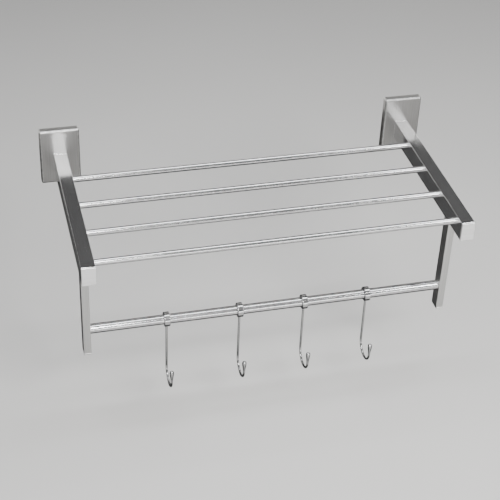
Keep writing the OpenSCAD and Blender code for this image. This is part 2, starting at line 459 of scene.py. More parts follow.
FINISHES: tuple[SteelFinish | NylonFinish, ...] = (
    SteelFinish(
        "satin_cover", "cover_steel",
        # The bright edge tone and high amount paint the cover's rounded rim much brighter than its face:
        # partly wear, partly a painted highlight.
        tone=(0.32, 0.317, 0.311), deep_tone=(0.285, 0.282, 0.277), worn_and_sheen_tone=(0.72, 0.72, 0.71),
        roughness=0.41, roughness_spread=0.05, grain=Grain.ALONG_Z, grain_scale=2400.0,
        relief=0.010 * MM, wear_and_sheen=0.8,
    ),
    SteelFinish(
        "polished_arm", "arm_steel",
        tone=(0.80, 0.80, 0.80), deep_tone=(0.73, 0.73, 0.735), worn_and_sheen_tone=(0.86, 0.86, 0.86),
        roughness=0.12, roughness_spread=0.03, grain=Grain.ALONG_Y, grain_scale=2600.0,
        relief=0.003 * MM, wear_and_sheen=0.6,
    ),
    SteelFinish(
        "bright_cap", "cap_steel",
        tone=(0.92, 0.92, 0.92), deep_tone=(0.86, 0.86, 0.86), worn_and_sheen_tone=(0.96, 0.96, 0.96),
        roughness=0.34, roughness_spread=0.05, grain=Grain.ALONG_X, grain_scale=2400.0,
        relief=0.006 * MM,
    ),
    SteelFinish(
        "polished_bar", "bar_steel",
        tone=(0.60, 0.60, 0.60), deep_tone=(0.50, 0.50, 0.505), worn_and_sheen_tone=(0.80, 0.80, 0.80),
        roughness=0.15, roughness_spread=0.035, grain=Grain.ROUND_X, grain_scale=2200.0,
        relief=0.006 * MM,
    ),
    SteelFinish(
        "satin_drop_bar", "drop_steel",
        tone=(0.52, 0.52, 0.51), deep_tone=(0.46, 0.46, 0.455), worn_and_sheen_tone=(0.78, 0.78, 0.77),
        roughness=0.33, roughness_spread=0.05, grain=Grain.ALONG_Z, grain_scale=2400.0,
        relief=0.008 * MM,
    ),
    SteelFinish(
        "polished_rail", "rail_steel",
        tone=(0.58, 0.58, 0.58), deep_tone=(0.48, 0.48, 0.485), worn_and_sheen_tone=(0.80, 0.80, 0.80),
        roughness=0.17, roughness_spread=0.04, grain=Grain.ROUND_X, grain_scale=1700.0,
        relief=0.008 * MM,
    ),
    SteelFinish(
        "polished_hook", "hook_steel",
        tone=(0.50, 0.50, 0.50), deep_tone=(0.42, 0.42, 0.42), worn_and_sheen_tone=(0.80, 0.80, 0.80),
        roughness=0.15, roughness_spread=0.04, grain=Grain.ROUND_X, grain_scale=2600.0,
        relief=0.004 * MM,
    ),
    SteelFinish(
        "zinc_bracket", "bracket_steel",
        tone=(0.50, 0.52, 0.55), deep_tone=(0.40, 0.42, 0.45), worn_and_sheen_tone=(0.66, 0.66, 0.66),
        roughness=0.42, roughness_spread=0.09, grain=Grain.ALONG_X, grain_scale=500.0,
        relief=0.020 * MM, dust=0.2,
    ),
    SteelFinish(
        "plain_screw", "screw_steel",
        tone=(0.40, 0.40, 0.41), deep_tone=(0.32, 0.32, 0.33), worn_and_sheen_tone=(0.60, 0.60, 0.60),
        roughness=0.32, roughness_spread=0.08, grain=Grain.ALONG_Z, grain_scale=1500.0,
        relief=0.010 * MM,
    ),
    NylonFinish(),
)


class Wardrobe:
    """Every finish of the rack, as materials found by their slot."""

    def __init__(self) -> None:
        """Builds the shared groups and all the materials."""
        groups = ShaderGroups()
        self.by_slot = {finish.slot: finish.build(groups) for finish in FINISHES}

    def of_node(self, node: str) -> tuple[bpy.types.Material, str]:
        """Finds what a node is finished in.

        Args:
            node: The CAD node's name.

        Returns:
            The material and the record's name of its slot.
        """
        for part in frame["record"]["subparts"]:
            if part["node"] == node:
                return self.by_slot[part["material_slot"]], part["material_slot"]
        raise KeyError(node)

    def dress_cad(self, node: str) -> None:
        """Gives a carried-over CAD node its finish."""
        material, _ = self.of_node(node)
        slots = frame["nodes"][node].data.materials
        slots.clear()
        slots.append(material)


# ---------------------------------------------------------------------------
# Mesh making
# ---------------------------------------------------------------------------


@dataclass(frozen=True)
class Section:
    """A rectangular outline with rounded corners, and a guard point on either side of each."""

    width: float
    height: float
    corner: float
    steps: int = 6
    guard: float = GUARD

    def grown(self, by: float) -> "Section":
        """The same outline moved outwards, or inwards where by is negative."""
        corner = max(self.corner + by, 0.05 * MM)
        return Section(self.width + 2 * by, self.height + 2 * by, corner, self.steps, self.guard)

    def points(self) -> list[Point2]:
        """The outline, counter-clockwise, with the same number of points at any size."""
        found: list[Point2] = []
        half_w, half_h = self.width / 2 - self.corner, self.height / 2 - self.corner
        for turn, (sx, sy) in enumerate(((1, 1), (-1, 1), (-1, -1), (1, -1))):
            start = turn * math.pi / 2
            end = start + math.pi / 2
            pivot_u, pivot_v = sx * half_w, sy * half_h
            arc = [start + math.pi / 2 * i / self.steps for i in range(self.steps + 1)]
            corner = [(pivot_u + self.corner * math.cos(a), pivot_v + self.corner * math.sin(a)) for a in arc]
            (first_u, first_v), (last_u, last_v) = corner[0], corner[-1]
            found.append((first_u + self.guard * math.sin(start), first_v - self.guard * math.cos(start)))
            found += corner
            found.append((last_u - self.guard * math.sin(end), last_v + self.guard * math.cos(end)))
        return found


class Solid:
    """A closed shape under construction."""

    def __init__(self) -> None:
        """Starts with nothing."""
        self.bm = bmesh.new()

    def loft(self, rings: Iterable[Ring], closed: bool = False) -> None:
        """Skins a row of rings that all have the same number of points.

        Args:
            rings: The rings in order.
            closed: Whether the last ring joins the first. Otherwise those two are filled.
        """
        rows = [[self.bm.verts.new(p) for p in ring] for ring in rings]
        pairs = list(zip(rows, rows[1:])) + ([(rows[-1], rows[0])] if closed else [])
        for near, far in pairs:
            count = len(near)
            for i in range(count):
                self.bm.faces.new((near[i], near[(i + 1) % count], far[(i + 1) % count], far[i]))
        if not closed:
            self.bm.faces.new(rows[0][::-1])
            self.bm.faces.new(rows[-1])

    def finish(self, name: str) -> bpy.types.Object:
        """Closes the shape, turns its faces outwards and makes it an object.

        Args:
            name: The piece's name.

        Returns:
            The new object, at the origin.
        """
        bmesh.ops.remove_doubles(self.bm, verts=self.bm.verts, dist=SAME_POINT)
        bmesh.ops.recalc_face_normals(self.bm, faces=self.bm.faces)
        return object_of(name, self.bm)


def place_object(name: str, mesh: bpy.types.Mesh) -> bpy.types.Object:
    """Puts a mesh in the scene at the origin.

    Args:
        name: The piece's name.
        mesh: Its mesh, in the frame of the rack.

    Returns:
        The new object.
    """
    piece = bpy.data.objects.new(name, mesh)
    bpy.context.scene.collection.objects.link(piece)
    return piece


def object_of(name: str, bm: bmesh.types.BMesh) -> bpy.types.Object:
    """Turns a mesh under construction into an object at the origin.

    Args:
        name: The piece's name.
        bm: The mesh under construction, which is used up.

    Returns:
        The new object.
    """
    mesh = bpy.data.meshes.new(name)
    bm.to_mesh(mesh)
    bm.free()
    return place_object(name, mesh)


def applied(piece: bpy.types.Object) -> bpy.types.Object:
    """Turns an object with modifiers into a plain mesh object of the same name.

    Args:
        piece: The object, which is removed.

    Returns:
        The plain object.
    """
    name = piece.name
    graph = bpy.context.evaluated_depsgraph_get()
    graph.update()
    mesh = bpy.data.meshes.new_from_object(piece.evaluated_get(graph))
    bpy.data.objects.remove(piece)
    mesh.name = name
    return place_object(name, mesh)


def joined(piece: bpy.types.Object, extra: bpy.types.Object) -> bpy.types.Object:
    """Puts two closed shapes in one mesh.

    Args:
        piece: The shape that stays.
        extra: The shape that goes into it, and is used up.

    Returns:
        The first shape's object.
    """
    bm = bmesh.new()
    bm.from_mesh(piece.data)
    bm.from_mesh(extra.data)
    bm.to_mesh(piece.data)
    bm.free()
    bpy.data.objects.remove(extra)
    return piece


@dataclass(frozen=True)
class Bore:
    """A round hole to cut: its middle, its axis, its diameter and its length."""

    centre: Vector
    along: Vector
    diameter: float
    length: float


def bored(piece: bpy.types.Object, bores: Sequence[Bore], sides: int = 48) -> bpy.types.Object:
    """Cuts round holes in a piece.

    Args:
        piece: The piece, which is used up.
        bores: The holes.
        sides: The number of flats round each hole.

    Returns:
        The cut piece.
    """
    bm = bmesh.new()
    for hole in bores:
        turn = Z_AXIS.rotation_difference(hole.along).to_matrix().to_4x4()
        bmesh.ops.create_cone(
            bm, cap_ends=True, segments=sides, radius1=hole.diameter / 2, radius2=hole.diameter / 2,
            depth=hole.length, matrix=Matrix.Translation(hole.centre) @ turn,
        )
    drill = object_of("drill", bm)
    modifier = piece.modifiers.new("holes", "BOOLEAN")
    modifier.operation = "DIFFERENCE"
    modifier.solver = "EXACT"
    modifier.object = drill
    cut = applied(piece)
    bpy.data.objects.remove(drill)
    return cut


def softened(piece: bpy.types.Object, width: float) -> bpy.types.Object:
    """Rounds a piece's sharp edges a little.

    Args:
        piece: The piece, which is used up.
        width: The size of the rounding.

    Returns:
        The rounded piece.
    """
    modifier = piece.modifiers.new("soft_edges", "BEVEL")
    modifier.width = width
    modifier.segments = 3
    modifier.limit_method = "ANGLE"
    modifier.angle_limit = math.radians(50)
    modifier.harden_normals = False
    return applied(piece)


def mark_edges(mesh: bpy.types.Mesh, soft: float = 10.0, hard: float = 14.0, cut: float = 60.0) -> None:
    """Stores how strongly each point of a mesh lies on a rounded edge, for the brighter edges of its finish:
    wear, and on the covers partly a painted highlight.

    Args:
        mesh: The mesh to mark.
        soft: The bend in degrees below which a point is on a face.
        hard: The bend in degrees from which a point is on a rounded edge.
        cut: The bend in degrees from which an edge is a fresh cut, and isn't marked.
    """
    bm = bmesh.new()
    bm.from_mesh(mesh)
    bm.verts.ensure_lookup_table()
    bend = [0.0] * len(bm.verts)
    for edge in bm.edges:
        if len(edge.link_faces) == 2:
            angle = math.degrees(edge.calc_face_angle(0.0))
            value = min(max((angle - soft) / (hard - soft), 0.0), 1.0) if angle < cut else 0.0
            for vert in edge.verts:
                bend[vert.index] = max(bend[vert.index], value)
    bm.free()
    attribute = mesh.attributes.get("edge") or mesh.attributes.new("edge", "FLOAT", "POINT")
    attribute.data.foreach_set("value", bend)


def rings_along_y(middle: Vector) -> Callable[[Section, float], Ring]:
    """Makes a function that stands outlines across a line along Y.

    Args:
        middle: A point of the line.

    Returns:
        A function of an outline and its Y, which gives the outline's points.
    """

    def ring(section: Section, y: float) -> Ring:
        """Stands an outline at a distance from the wall."""
        centre = Vector((middle.x, y, middle.z))
        return [centre + Vector((u, 0, v)) for u, v in section.points()]

    return ring


def rings_along_z(middle: Vector) -> Callable[[Section, float], Ring]:
    """Makes a function that lays outlines across a line along Z.

    Args:
        middle: A point of the line.

    Returns:
        A function of an outline and its Z, which gives the outline's points.
    """

    def ring(section: Section, z: float) -> Ring:
        """Lays an outline at a height."""
        centre = Vector((middle.x, middle.y, z))
        return [centre + Vector((u, v, 0)) for u, v in section.points()]

    return ring


def quarter(radius: float, steps: int) -> list[Point2]:
    """A quarter round from (0, radius) to (radius, 0), as distance along and inset.

    Args:
        radius: The size of the round.
        steps: The number of straight stretches.

    Returns:
        Pairs of how far a point is from the end face and how far it lies inside the side.
    """
    turns = [math.pi / 2 * i / steps for i in range(steps + 1)]
    return [(radius * (1 - math.sin(t)), radius * (1 - math.cos(t))) for t in turns]


def centre_of(node: str) -> Vector:
    """The middle of a CAD node's box."""
    low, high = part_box(node)
    return (Vector(low) + Vector(high)) / 2


def span_of(node: str) -> Vector:
    """The size of a CAD node's box."""
    low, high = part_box(node)
    return Vector(high) - Vector(low)


class RodMaker:
    """A Geometry Nodes tree that sweeps a round rod of varying thickness along a guide, and repeats it."""

    def __init__(self) -> None:
        """Builds the tree, with named inputs for its sizes."""
        group = bpy.data.node_groups.new("swept_rods", "GeometryNodeTree")
        face = group.interface
        face.new_socket(name="Guide", in_out="INPUT", socket_type="NodeSocketGeometry")
        self.inputs = {
            name: face.new_socket(name=name, in_out="INPUT", socket_type=kind)
            for name, kind in (
                ("Count", "NodeSocketInt"),
                ("Spacing", "NodeSocketVector"),
                ("Sides", "NodeSocketInt"),
                ("Finish", "NodeSocketMaterial"),
            )
        }
        face.new_socket(name="Rods", in_out="OUTPUT", socket_type="NodeSocketGeometry")
        tree = Tree(group)
        source, result = tree.add("NodeGroupInput"), tree.add("NodeGroupOutput")
        path = tree.add("GeometryNodeMeshToCurve")
        tree.link(source.outputs["Guide"], path.inputs["Mesh"])
        outline = tree.add("GeometryNodeCurvePrimitiveCircle")
        outline.inputs["Radius"].default_value = 1.0
        tree.link(source.outputs["Sides"], outline.inputs["Resolution"])
        thickness = tree.add("GeometryNodeInputNamedAttribute", data_type="FLOAT")
        thickness.inputs["Name"].default_value = "thickness"
        sweep = tree.add("GeometryNodeCurveToMesh")
        sweep.inputs["Fill Caps"].default_value = True
        tree.link(path.outputs["Curve"], sweep.inputs["Curve"])
        tree.link(outline.outputs["Curve"], sweep.inputs["Profile Curve"])
        tree.link(thickness.outputs["Attribute"], sweep.inputs["Scale"])
        places = tree.add("GeometryNodeMeshLine")
        tree.link(source.outputs["Count"], places.inputs["Count"])
        tree.link(source.outputs["Spacing"], places.inputs["Offset"])
        repeat = tree.add("GeometryNodeInstanceOnPoints")
        tree.link(places.outputs["Mesh"], repeat.inputs["Points"])
        tree.link(sweep.outputs["Mesh"], repeat.inputs["Instance"])
        real = tree.add("GeometryNodeRealizeInstances")
        tree.link(repeat.outputs["Instances"], real.inputs["Geometry"])
        finish = tree.add("GeometryNodeSetMaterial")
        tree.link(real.outputs["Geometry"], finish.inputs["Geometry"])
        tree.link(source.outputs["Finish"], finish.inputs["Material"])
        tree.link(finish.outputs["Geometry"], result.inputs["Rods"])
        self.group = group

    def make(
        self, name: str, guide: Sequence[tuple[Vector, float]], material: bpy.types.Material,
        count: int = 1, spacing: Vector | None = None, sides: int = 48,
    ) -> bpy.types.Object:
        """Sweeps one rod or a row of rods.

        Args:
            name: The piece's name.
            guide: The points of the path, each with the rod's radius there.
            material: The finish.
            count: The number of rods.
            spacing: The step from one rod to the next.
            sides: The number of flats round a rod.

        Returns:
            The rods as one plain mesh object.
        """
        mesh = bpy.data.meshes.new(name)
        mesh.from_pydata([p for p, _ in guide], [(i, i + 1) for i in range(len(guide) - 1)], [])
        mesh.attributes.new("thickness", "FLOAT", "POINT").data.foreach_set("value", [r for _, r in guide])
        piece = place_object(name, mesh)
        modifier = piece.modifiers.new("rods", "NODES")
        modifier.node_group = self.group
        values = {"Count": count, "Spacing": list(spacing or Vector()), "Sides": sides, "Finish": material}
        for key, value in values.items():
            modifier[self.inputs[key].identifier] = value
        made = applied(piece)
        bm = bmesh.new()
        bm.from_mesh(made.data)
        bmesh.ops.remove_doubles(bm, verts=bm.verts, dist=SAME_POINT)
        bmesh.ops.recalc_face_normals(bm, faces=bm.faces)
        bm.to_mesh(made.data)
        bm.free()
        return made


# ---------------------------------------------------------------------------
# The rack's sub-assemblies
# ---------------------------------------------------------------------------


@dataclass
class Assembly:
    """A sub-assembly, which builds its pieces and gives each to its body."""

    wardrobe: Wardrobe

    def adopt(self, piece: bpy.types.Object, body: str, *nodes: str) -> None:
        """Finishes a piece and lets it stand for CAD nodes.

        Args:
            piece: The piece.
            body: The CAD body that it moves with.
            *nodes: The CAD nodes that it replaces.
        """
        material, slot = self.wardrobe.of_node(nodes[0])
        mesh = piece.data
        mesh.materials.clear()
        mesh.materials.append(material)
        mesh.shade_smooth()
        mesh.set_sharp_from_angle(angle=math.radians(38))
        mark_edges(mesh)
        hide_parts(*nodes)
        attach(piece, body)
        LOG.info("%s: %d faces, on %s, for %s", piece.name, len(mesh.polygons), body, ", ".join(nodes))

    def keep(self, node: str) -> None:
        """Dresses a CAD node that stays as it is."""
        self.wardrobe.dress_cad(node)
        LOG.info("%s: kept from the CAD", node)


@dataclass
class WallFixing(Assembly):
    """A satin cover, the bracket that it hides, and the screw that locks it."""

    side: Side = Side.LEFT
    sheet: float = 1.5 * MM
    corner: float = 3.0 * MM
    inside_corner: float = 0.8 * MM
    front_round: float = 3.4 * MM
    rim_inset: float = 0.15 * MM
    rim_depth: float = 0.2 * MM
    block_width: float = 10.0 * MM
    block_depth: float = 8.0 * MM
    block_rise: float = 2.6 * MM
    block_sink: float = 0.1 * MM
    block_corner: float = 0.6 * MM
    block_chamfer: float = 0.4 * MM
    screw_hole: float = 4.1 * MM
    bracket_sheet: float = 2.0 * MM
    bracket_bend: float = 3.0 * MM
    bracket_soft: float = 0.3 * MM
    wall_hole: float = 5.2 * MM
    wall_hole_rise: float = 30.0 * MM

    def build(self) -> None:
        """Builds the fixing's pieces."""
        word = self.side.word
        self.adopt(self._cover(word), "rack", f"wall_cover_{word}")
        self.adopt(self._bracket(word), "rack", f"wall_bracket_{word}")
        self.keep(f"grub_screw_{word}")

    def _cover(self, word: str) -> bpy.types.Object:
        """Draws the hollow cover, from its inner face round its rim to its outer face."""
        node = f"wall_cover_{word}"
        middle, span = centre_of(node), span_of(node)
        outer = Section(span.x, span.z, self.corner)
        inner = Section(span.x - 2 * self.sheet, span.z - 2 * self.sheet, self.inside_corner)
        front = -span.y
        at = rings_along_y(middle)
        rings = [at(inner.grown(-GUARD), front + self.sheet), at(inner, front + self.sheet)]
        rings += [at(inner, front + self.sheet + GUARD), at(inner, 0.0)]
        rings += [at(outer.grown(-self.rim_inset), 0.0), at(outer, -self.rim_depth)]
        rings += [at(outer, -self.rim_depth - GUARD), at(outer, front + self.front_round + GUARD)]
        for ahead, inset in quarter(self.front_round, steps=7):
            rings.append(at(outer.grown(-inset), front + ahead))
        rings.append(at(outer.grown(-self.front_round - GUARD), front))
        shell = Solid()
        shell.loft(rings)
        cover = shell.finish(f"cover_{word}")
        screw = centre_of(f"grub_screw_{word}")
        underside = middle.z - span.z / 2
        entry = Vector((screw.x, screw.y, underside))
        cover = bored(cover, [Bore(entry, Z_AXIS, self.screw_hole, length=4 * self.sheet)])
        return joined(cover, self._block(word, screw, underside))

    def _block(self, word: str, screw: Vector, underside: float) -> bpy.types.Object:
        """Draws the threaded block that stands on the cover's lower wall."""
        low = underside + self.sheet - self.block_sink
        high = underside + self.sheet + self.block_rise
        outline = Section(self.block_width, self.block_depth, self.block_corner, steps=4)
        angles = [math.atan2(v, u) for u, v in outline.points()]
        radius = self.screw_hole / 2
        hole = [(radius * math.cos(a), radius * math.sin(a)) for a in angles]
        rings = []
        for z, inset in ((low, 0.0), (high - self.block_chamfer, 0.0), (high, self.block_chamfer)):
            rings.append([Vector((screw.x + u, screw.y + v, z)) for u, v in outline.grown(-inset).points()])
        for z in (high, low):
            rings.append([Vector((screw.x + u, screw.y + v, z)) for u, v in hole])
        block = Solid()
        block.loft(rings, closed=True)
        return block.finish(f"block_{word}")

    def _bracket(self, word: str) -> bpy.types.Object:
        """Draws the bracket as a bent strip, and drills it."""
        node = f"wall_bracket_{word}"
        middle, span = centre_of(node), span_of(node)
        low, high = middle.z - span.z / 2, middle.z + span.z / 2
        reach, bend, sheet = span.y, self.bracket_bend, self.bracket_sheet
        steps = 6
        outline = [(-reach, high)]
        turns = [math.pi / 2 * i / steps for i in range(steps + 1)]
        outline += [(-bend + bend * math.sin(t), high - bend + bend * math.cos(t)) for t in turns]
        outline += [(-bend + bend * math.cos(t), low + bend - bend * math.sin(t)) for t in turns]
        outline += [(-reach, low), (-reach, low + sheet)]
        tight = bend - sheet
        outline += [(-bend + tight * math.sin(t), low + bend - tight * math.cos(t)) for t in turns]
        outline += [(-bend + tight * math.cos(t), high - bend + tight * math.sin(t)) for t in turns]
        outline += [(-reach, high - sheet)]
        strip = Solid()
        strip.loft([[Vector((middle.x + end * span.x / 2, y, z)) for y, z in outline] for end in (-1, 1)])
        bracket = strip.finish(f"bracket_{word}")
        holes = [Vector((middle.x, -sheet / 2, end * self.wall_hole_rise)) for end in (-1, 1)]
        drills = [Bore(hole, Y_AXIS, self.wall_hole, length=3 * sheet) for hole in holes]
        return softened(bored(bracket, drills), self.bracket_soft)


@dataclass
class ShelfArm(Assembly):
    """A polished rectangular tube that carries the shelf bars, and its front cap."""

    side: Side = Side.LEFT
    wall: float = 1.5 * MM
    corner: float = 0.9 * MM
    seat_flare: float = 0.35 * MM
    groove: float = 0.22 * MM
    cap_face: float = 3.0 * MM
    cap_round: float = 0.8 * MM
    cap_wall: float = 1.6 * MM
    plug_gap: float = 0.1 * MM
    bar_clearance: float = 0.1 * MM

    def build(self) -> None:
        """Builds the tube and the cap."""
        word = self.side.word
        self.adopt(self._tube(word), "rack", f"arm_{word}")
        self.adopt(self._cap(word), "rack", f"arm_cap_{word}")

    def _tube(self, word: str) -> bpy.types.Object:
        """Draws the tube, with a fine fillet at the cover, and drills it for the bars."""
        node = f"arm_{word}"
        middle, span = centre_of(node), span_of(node)
        back, front = middle.y + span.y / 2, middle.y - span.y / 2
        outer = Section(span.x, span.z, self.corner)
        inner = Section(span.x - 2 * self.wall, span.z - 2 * self.wall, INNER_CORNER, guard=INNER_CORNER)
        at = rings_along_y(middle)
        rings = [at(outer.grown(spread), back - ahead) for spread, ahead in quarter(self.seat_flare, steps=4)]
        rings += [at(outer, back - self.seat_flare - GUARD), at(outer, front + self.groove + GUARD)]
        rings += [at(outer, front + self.groove), at(outer.grown(-self.groove), front)]
        rings += [at(inner, front), at(inner, back)]
        shell = Solid()
        shell.loft(rings, closed=True)
        tube = shell.finish(f"tube_{word}")
        drills = []
        face = middle.x - self.side.value * span.x / 2
        for number in range(1, SHELF_BARS + 1):
            bar, size = centre_of(f"shelf_bar_{number}"), span_of(f"shelf_bar_{number}")
            entry = Vector((face, bar.y, bar.z))
            drills.append(Bore(entry, X_AXIS, size.z + self.bar_clearance, length=3 * self.wall))
        return bored(tube, drills)

    def _cap(self, word: str) -> bpy.types.Object:
        """Draws the cap, whose hollow plug sits in the tube."""
        node = f"arm_cap_{word}"
        middle, span = centre_of(node), span_of(node)
        front, end = middle.y - span.y / 2, middle.y + span.y / 2
        seam = front + self.cap_face
        face = Section(span.x, span.z, self.corner)
        fit = -(self.wall + self.plug_gap)
        plug = Section(span.x + 2 * fit, span.z + 2 * fit, INNER_CORNER, guard=INNER_CORNER)
        hollow = plug.grown(-self.cap_wall)
        at = rings_along_y(middle)
        rings = [at(face.grown(-self.cap_round - GUARD), front)]
        for ahead, inset in reversed(quarter(self.cap_round, steps=6)):
            rings.append(at(face.grown(-inset), front + ahead))
        rings += [at(face, seam - self.groove), at(face.grown(-self.groove), seam)]
        rings += [at(plug, seam), at(plug, end), at(hollow, end), at(hollow, seam)]
        block = Solid()
        block.loft(rings)
        return block.finish(f"cap_{word}")


@dataclass
class DropBar(Assembly):
    """A satin flat tube that hangs from an arm and carries the towel rail, and its foot."""

    side: Side = Side.LEFT
    wall: float = 1.2 * MM
    corner: float = 0.9 * MM
    weld: float = 0.5 * MM
    groove: float = 0.18 * MM
    foot_face: float = 2.0 * MM
    foot_round: float = 0.7 * MM
    plug_gap: float = 0.1 * MM
    plug_chamfer: float = 0.5 * MM
    rail_clearance: float = 0.1 * MM
    guard: float = 0.4 * MM

    def build(self) -> None:
        """Builds the tube and its foot."""
        word = self.side.word
        self.adopt(self._tube(word), "rack", f"drop_bar_{word}")
        self.adopt(self._foot(word), "rack", f"drop_foot_{word}")

    def _tube(self, word: str) -> bpy.types.Object:
        """Draws the tube, with a weld bead at the arm, and drills it for the rail."""
        node = f"drop_bar_{word}"
        middle, span = centre_of(node), span_of(node)
        top, low = middle.z + span.z / 2, middle.z - span.z / 2
        outer = Section(span.x, span.y, self.corner, guard=self.guard)
        inner = Section(span.x - 2 * self.wall, span.y - 2 * self.wall, INNER_CORNER, guard=INNER_CORNER)
        at = rings_along_z(middle)
        rings = [at(outer.grown(spread), top - below) for spread, below in quarter(self.weld, steps=4)]
        rings += [at(outer, top - self.weld - self.guard), at(outer, low + self.groove + self.guard)]
        rings += [at(outer, low + self.groove), at(outer.grown(-self.groove), low)]
        rings += [at(inner, low), at(inner, top)]
        shell = Solid()
        shell.loft(rings, closed=True)
        tube = shell.finish(f"drop_{word}")
        rail, size = centre_of("towel_rail"), span_of("towel_rail")
        entry = Vector((middle.x - self.side.value * span.x / 2, rail.y, rail.z))
        return bored(tube, [Bore(entry, X_AXIS, size.z + self.rail_clearance, length=3 * self.wall)])

    def _foot(self, word: str) -> bpy.types.Object:
        """Draws the plate that closes the tube, and the plug on it."""
        node = f"drop_foot_{word}"
        middle, span = centre_of(node), span_of(node)
        low, end = middle.z - span.z / 2, middle.z + span.z / 2
        seam = low + self.foot_face
        face = Section(span.x, span.y, self.corner, guard=self.guard)
        fit = -(self.wall + self.plug_gap)
        plug = Section(span.x + 2 * fit, span.y + 2 * fit, INNER_CORNER, guard=INNER_CORNER)
        at = rings_along_z(middle)
        rings = [at(face.grown(-self.foot_round - self.guard), low)]
        for above, inset in reversed(quarter(self.foot_round, steps=5)):
            rings.append(at(face.grown(-inset), low + above))
        rings += [at(face, seam - self.groove), at(face.grown(-self.groove), seam)]
        rings += [at(plug, seam), at(plug, end - self.plug_chamfer)]
        rings += [at(plug.grown(-self.plug_chamfer), end)]
        block = Solid()
        block.loft(rings)
        return block.finish(f"foot_{word}")


@dataclass
class CrossBars(Assembly):
    """The polished round tubes between the two sides: the shelf bars and the towel rail."""

    rods: RodMaker
    weld: float = 0.35 * MM
    rail_weld: float = 0.5 * MM
    weld_guard: float = 0.6 * MM
    weld_bite: float = 0.15 * MM
    weld_end: float = 0.2 * MM

    def build(self) -> None:
        """Builds the row of shelf bars, and the rail."""
        nodes = [f"shelf_bar_{number}" for number in range(1, SHELF_BARS + 1)]
        first, size = centre_of(nodes[0]), span_of(nodes[0])
        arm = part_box("arm_right")[0].x
        guide = self._guide(first, size.x / 2, size.z / 2, arm, self.weld)
        row = self.rods.make(
            "shelf_bars", guide, self.wardrobe.by_slot["bar_steel"], count=len(nodes),
            spacing=centre_of(nodes[1]) - first, sides=48,
        )
        self.adopt(row, "rack", *nodes)
        middle, span = centre_of("towel_rail"), span_of("towel_rail")
        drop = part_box("drop_bar_right")[0].x
        guide = self._guide(middle, span.x / 2, span.z / 2, drop, self.rail_weld)
        rail = self.rods.make("rail", guide, self.wardrobe.by_slot["rail_steel"], sides=64)
        self.adopt(rail, "rack", "towel_rail")

    def _guide(
        self, middle: Vector, half: float, radius: float, face: float, weld: float,
    ) -> list[tuple[Vector, float]]:
        """Lays out a straight bar with a weld bead where it enters each side.

        Args:
            middle: The bar's middle.
            half: Half its length.
            radius: Its radius.
            face: How far from the middle plane it enters the side.
            weld: The size of the bead.

        Returns:
            The guide's points and radii.
        """
        right = [(0.0, radius), (face - weld - self.weld_guard, radius)]
        right += [(face - back, radius + spread) for spread, back in reversed(quarter(weld, steps=5))]
        right += [(face + self.weld_bite, radius + weld), (face + self.weld_end, radius), (half, radius)]
        points = [(-x, r) for x, r in reversed(right[1:])] + right
        return [(Vector((x, middle.y, middle.z)), r) for x, r in points]


